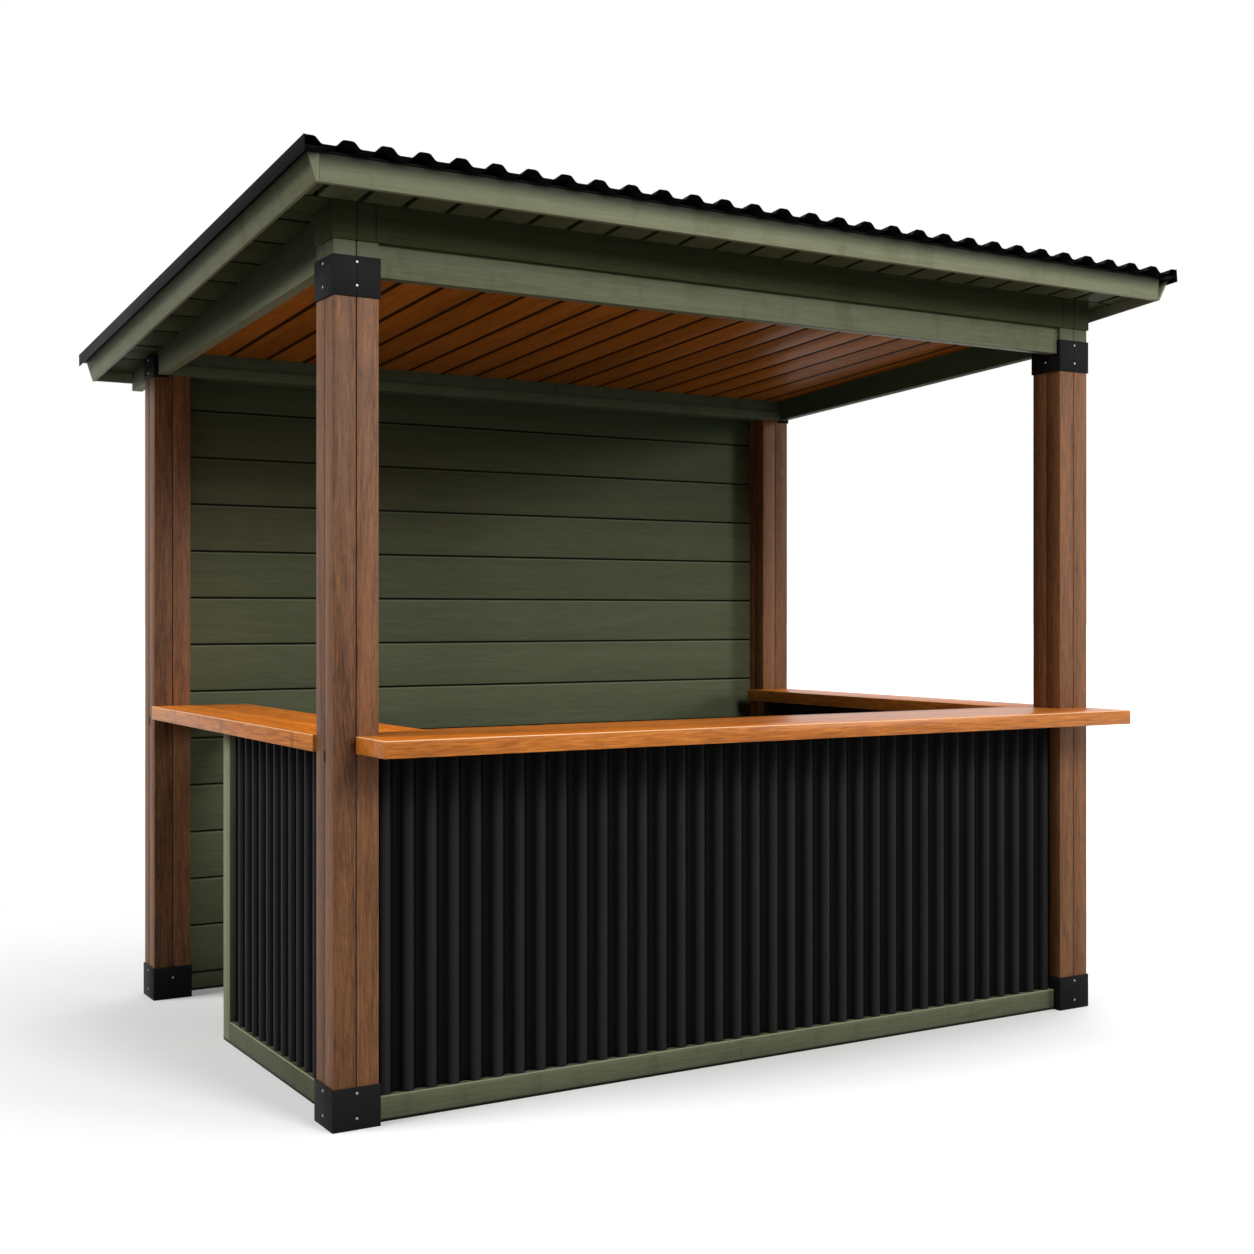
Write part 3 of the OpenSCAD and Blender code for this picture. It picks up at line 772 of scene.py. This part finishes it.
wallRibs = {"pitch": 0.066, "crest": 0.018, "base": 0.048, "depth": 0.018,
            "bend": 0.0085, "segments": 4, "steel": 0.0010}
roofRibs = {"pitch": 0.100, "crest": 0.029, "base": 0.059, "depth": 0.018,
            "bend": 0.0055, "segments": 3, "steel": 0.0012, "rise": 0.006, "short": 0.002}
sheetAngles = {"flat": 1, "bend": 15, "smooth": 50}  # degrees
sheetEdge = {"wide": 0.040, "back": 0.019, "thick": 0.004, "edge": 0.0008}  # flat edge between end stud and first rib
eaves = {"proud": 0.003, "deep": 0.020, "clear": 0.0006, "edge": 0.0008}


def ribStrip(name, widths, heights, length):  # a strip along Y, its section running along X
    deselectAll()
    bpy.ops.mesh.primitive_plane_add(size=1)
    piece = bpy.context.object
    piece.name = name
    piece.scale = (widths[0], length, 1)
    piece.location = (widths[0] / 2, length / 2, 0)
    bakePlace(piece)
    points = piece.data.vertices
    editSome(piece, "EDGE", lambda edge: all(points[v].co.x > widths[0] / 2 for v in edge.vertices))
    for width, rise in zip(widths[1:], heights):
        bpy.ops.mesh.extrude_region_move(TRANSFORM_OT_translate={"value": (width, 0, rise)})
    endEdit()
    return piece


def ribbedSheet(name, widths, heights, length, count, sizes, spare=0.0):
    piece = ribStrip(name, widths, heights, length)
    pitch = sum(widths)
    applyModifier(piece, "repeat", "ARRAY", count=count, use_relative_offset=False, use_constant_offset=True,
                  constant_offset_displace=(pitch, 0, 0), use_merge_vertices=True, merge_threshold=0.0001)
    for point in piece.data.vertices:  # spare width goes to the two outer edges
        if point.co.x < near:
            point.co.x -= spare
        elif point.co.x > count * pitch - near:
            point.co.x += spare
    editAll(piece)
    bpy.ops.mesh.dissolve_limited(angle_limit=radians(sheetAngles["flat"]))
    bpy.ops.mesh.normals_make_consistent(inside=False)
    endEdit()
    roundEdges(piece, sizes["bend"], sizes["segments"], sheetAngles["bend"])
    if sum(face.normal.z * face.area for face in piece.data.polygons) < 0:
        editAll(piece)
        bpy.ops.mesh.flip_normals()
        endEdit()
    applyModifier(piece, "steel", "SOLIDIFY", thickness=sizes["steel"], offset=1.0, use_even_offset=True)
    return piece


def wallSheet(node, turn):
    r = wallRibs
    low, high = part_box(node)
    if node == "left_cladding":
        high.y -= sheetEdge["wide"]
    run = high.y - low.y if turn else high.x - low.x
    count = round(run / r["pitch"])
    flat, slope = (run / count - r["base"]) / 2, (r["base"] - r["crest"]) / 2
    piece = ribbedSheet(node + "_ribbed", [flat, slope, r["crest"], slope, flat], (r["depth"], 0, -r["depth"], 0),
                        high.z - low.z, count, r)
    piece.rotation_euler = (radians(90), 0, 0)
    bakePlace(piece)
    piece.rotation_euler = (0, 0, radians(turn))
    piece.location = {0: (low.x, high.y, low.z), -90: (high.x, high.y, low.z), 90: (low.x, low.y, low.z)}[turn]
    bakePlace(piece)
    if node == "left_cladding":
        x0 = studLow.x + sheetEdge["back"]
        flatEdge = board("flatEdge", (x0, high.y - near, low.z), (x0 + sheetEdge["thick"], studLow.y, high.z))
        roundEdges(flatEdge, sheetEdge["edge"])
        joinPieces(piece, flatEdge)
    smooth(piece, sheetAngles["smooth"])
    return finishPiece(piece, finishes[node], "black_sheet", node)


def roofSheet():  # its outer crests reach the verge trims
    r = roofRibs
    wide = sheetHigh.x - sheetLow.x
    run = (sheetHigh.y - sheetLow.y) / cos(roofAngle)
    count = floor(wide / r["pitch"])
    half, slope = r["crest"] / 2, (r["base"] - r["crest"]) / 2
    piece = ribbedSheet("roofRibbedSheet", [half, slope, r["pitch"] - r["base"], slope, half],
                        (-r["depth"], 0, r["depth"], 0), run - r["short"], count, r, (wide - count * r["pitch"]) / 2)
    piece.location = (-count * r["pitch"] / 2, 0, r["depth"] + r["rise"])
    bakePlace(piece)
    piece.rotation_euler = (-roofAngle, 0, 0)
    piece.location = (0, sheetLow.y, fasciaHigh.z + (fasciaLow.y - sheetLow.y) * roofFall)
    bakePlace(piece)
    smooth(piece, sheetAngles["smooth"])
    return finishPiece(piece, finishes["sheet"], "black_sheet", "roof_sheet")


def eavesStrip():  # folded strips that carry the sheet over the front and back fascias
    frontY, backY = fasciaLow.y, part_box("back_fascia")[1].y
    top = fasciaHigh.z + roofRibs["rise"] - eaves["clear"]
    strips = []
    for y0, y1 in ((frontY - eaves["proud"], frontY + eaves["deep"]), (backY - eaves["deep"], backY + eaves["proud"])):
        strip = board("eavesStrip", (fasciaLow.x, y0, fasciaHigh.z), (-fasciaLow.x, y1, top))
        roundEdges(strip, eaves["edge"])
        strips.append(strip)
    piece = joinPieces(*strips)
    slopeDown(piece, roofFall, frontY)
    smooth(piece)
    return finishPiece(piece, finishes["sheet"], "black_sheet")


eavesStrip()
wallSheet("front_cladding", 0)
wallSheet("left_cladding", -90)
wallSheet("right_cladding", 90)
roofSheet()
print("ribbed sheets made")


# pan-head screws on the boots and collars

screwSizes = {"sides": 16, "radius": 0.0038, "head": 0.0026, "dome": 0.0016, "inset": 0.00108, "socket": 0.0012}
screwLevels = {"boot": (0.27, 0.86), "collar": (0.27, 0.85), "innerBoot": 0.67, "innerRise": 0.006}  # shares of height


def screwHead():
    s = screwSizes
    deselectAll()
    bpy.ops.mesh.primitive_cylinder_add(vertices=s["sides"], radius=s["radius"], depth=s["head"],
                                        location=(0, 0, s["head"] / 2))
    piece = bpy.context.object
    bakePlace(piece)
    editSome(piece, "FACE", lambda face: face.normal.z > 0.9)
    bpy.ops.mesh.bevel(offset=s["dome"], segments=3, affect="EDGES")
    endEdit()
    top = max(piece.data.polygons, key=lambda face: face.center.z * 1000 + face.area).index
    editSome(piece, "FACE", lambda face: face.index == top)
    bpy.ops.mesh.inset(thickness=s["inset"])
    bpy.ops.mesh.extrude_region_move(TRANSFORM_OT_translate={"value": (0, 0, -s["socket"])})
    endEdit()
    return piece


def screwPlaces():  # each place with the direction that its screw faces
    places = []
    for corner in corners:
        front, left = corner.startswith("front"), corner.endswith("left")
        for part in ("boot", "collar"):
            low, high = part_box(corner + "_" + part)
            middle = (low + high) / 2
            outerX, innerX, out = (low.x, high.x, -1) if left else (high.x, low.x, 1)
            faceY, facing = (low.y, -1) if front else (high.y, 1)
            levels = [low.z + (high.z - low.z) * share for share in screwLevels[part]]
            for z in levels:
                places.append(((outerX, middle.y, z), (out, 0, 0)))
                places.append(((middle.x, faceY, z), (0, facing, 0)))
            if corner == "back_left" and part == "boot":
                z = low.z + (high.z - low.z) * screwLevels["innerBoot"]
                places.append(((middle.x, low.y, z), (0, -1, 0)))
            if front and part == "collar":
                places.append(((innerX, middle.y, levels[0] + screwLevels["innerRise"]), (-out, 0, 0)))
    return places


def setScrews():
    head = screwHead()
    copies = []
    for place, facing in screwPlaces():
        one = head.copy()
        one.data = head.data.copy()
        bpy.context.scene.collection.objects.link(one)
        one.rotation_euler = Vector((0, 0, 1)).rotation_difference(Vector(facing)).to_euler()
        one.location = place
        bakePlace(one)
        copies.append(one)
    bpy.data.objects.remove(head)
    piece = joinPieces(*copies)
    piece.name = "plateScrews"
    smooth(piece, 40)
    return finishPiece(piece, finishes["zinc"], "steel_plate")


setScrews()
print("screws set")


# floor, light and camera

stage = {"floor": 400.0, "floorTone": 0.24, "floorSeen": 0.71, "floorLift": 0.14,
         "rightLift": 0.34, "rightFrom": 1.0, "rightTo": 1.9}
softbox = {"place": (0.3, -6.2, 4.35), "aim": (0.0, 0.0, 1.0), "size": 2.4, "watts": 278.0}
lamps = {  # azimuth from the front towards the right, elevation and spread in degrees, level on a surface that faces it
    "leftSoft": (-97.0, 40.0, 34.0, 0.98),
    "frontRightSoft": (44.0, 12.0, 14.0, 0.26),
    "rightSoft": (97.0, 68.0, 60.0, 0.62),
}
cameraView = {"place": (-2.8772, -4.9466, 1.3249), "yaw": 30.897, "focal": 1654.7, "horizon": 615.9,
              "frame": 1254.0, "sensor": 36.0}


def addHolder(name, data):
    holder = bpy.data.objects.new(name, data)
    bpy.context.scene.collection.objects.link(holder)
    return holder


def seenRays(tree):  # 1 for rays that show the backdrop itself: camera, glossy and transmission rays
    path = tree.nodes.new("ShaderNodeLightPath")
    names = ("Is Camera Ray", "Is Glossy Ray", "Is Transmission Ray")
    camera, glossy, through = (Value(tree, path.outputs[name]) for name in names)
    return camera.math("MAXIMUM", camera.math("MAXIMUM", camera, glossy), through)


def setFloor():
    deselectAll()
    bpy.ops.mesh.primitive_plane_add(size=stage["floor"])
    ground = bpy.context.object
    ground.name = "paleFloor"
    material, shader, coords = newFinish("paleFloor")
    seen = seenRays(material.node_tree)
    plain, shown = ((tone, tone, tone, 1.0) for tone in (stage["floorTone"], stage["floorSeen"]))
    lift = coords.axis(0).smoothStep(stage["rightFrom"], stage["rightTo"]) * stage["rightLift"] + stage["floorLift"]
    feed(seen.mix(plain, shown), shader, "Base Color")
    feed(seen * lift, shader, "Emission Color")  # painted light: seen rays get more emission towards the right, so the shadow fades out there
    shader.inputs["Emission Strength"].default_value = 1.0
    shader.inputs["Roughness"].default_value = 1.0
    shader.inputs["Specular IOR Level"].default_value = 0.0
    ground.data.materials.append(material)


def setLight():
    world = bpy.data.worlds.new("whiteBackdrop")
    bpy.context.scene.world = world
    world.use_nodes = True
    backdrop = world.node_tree.nodes["Background"]
    backdrop.inputs["Color"].default_value = (1, 1, 1, 1)
    feed(seenRays(world.node_tree), backdrop, "Strength")
    box = bpy.data.lights.new("frontSoftbox", "AREA")
    box.shape, box.size, box.energy = "DISK", softbox["size"], softbox["watts"]
    holder = addHolder("frontSoftbox", box)
    holder.location = softbox["place"]
    away = Vector(softbox["place"]) - Vector(softbox["aim"])
    holder.rotation_euler = away.to_track_quat("Z", "Y").to_euler()
    for name, (azimuth, elevation, spread, level) in lamps.items():
        lamp = bpy.data.lights.new(name, "SUN")
        lamp.energy, lamp.angle = level * pi, radians(spread)
        addHolder(name, lamp).rotation_euler = (radians(90 - elevation), 0, radians(azimuth))


def setCamera():
    c = cameraView
    lens = bpy.data.cameras.new("photoCamera")
    lens.sensor_width = c["sensor"]
    lens.lens = c["sensor"] * c["focal"] / c["frame"]
    lens.shift_y = (c["horizon"] - c["frame"] / 2) / c["frame"]
    holder = addHolder("photoCamera", lens)
    holder.location = c["place"]
    holder.rotation_euler = (radians(90), 0, -radians(c["yaw"]))
    bpy.context.scene.camera = holder
    bpy.context.scene.view_settings.view_transform = "Standard"


setFloor()
setLight()
setCamera()
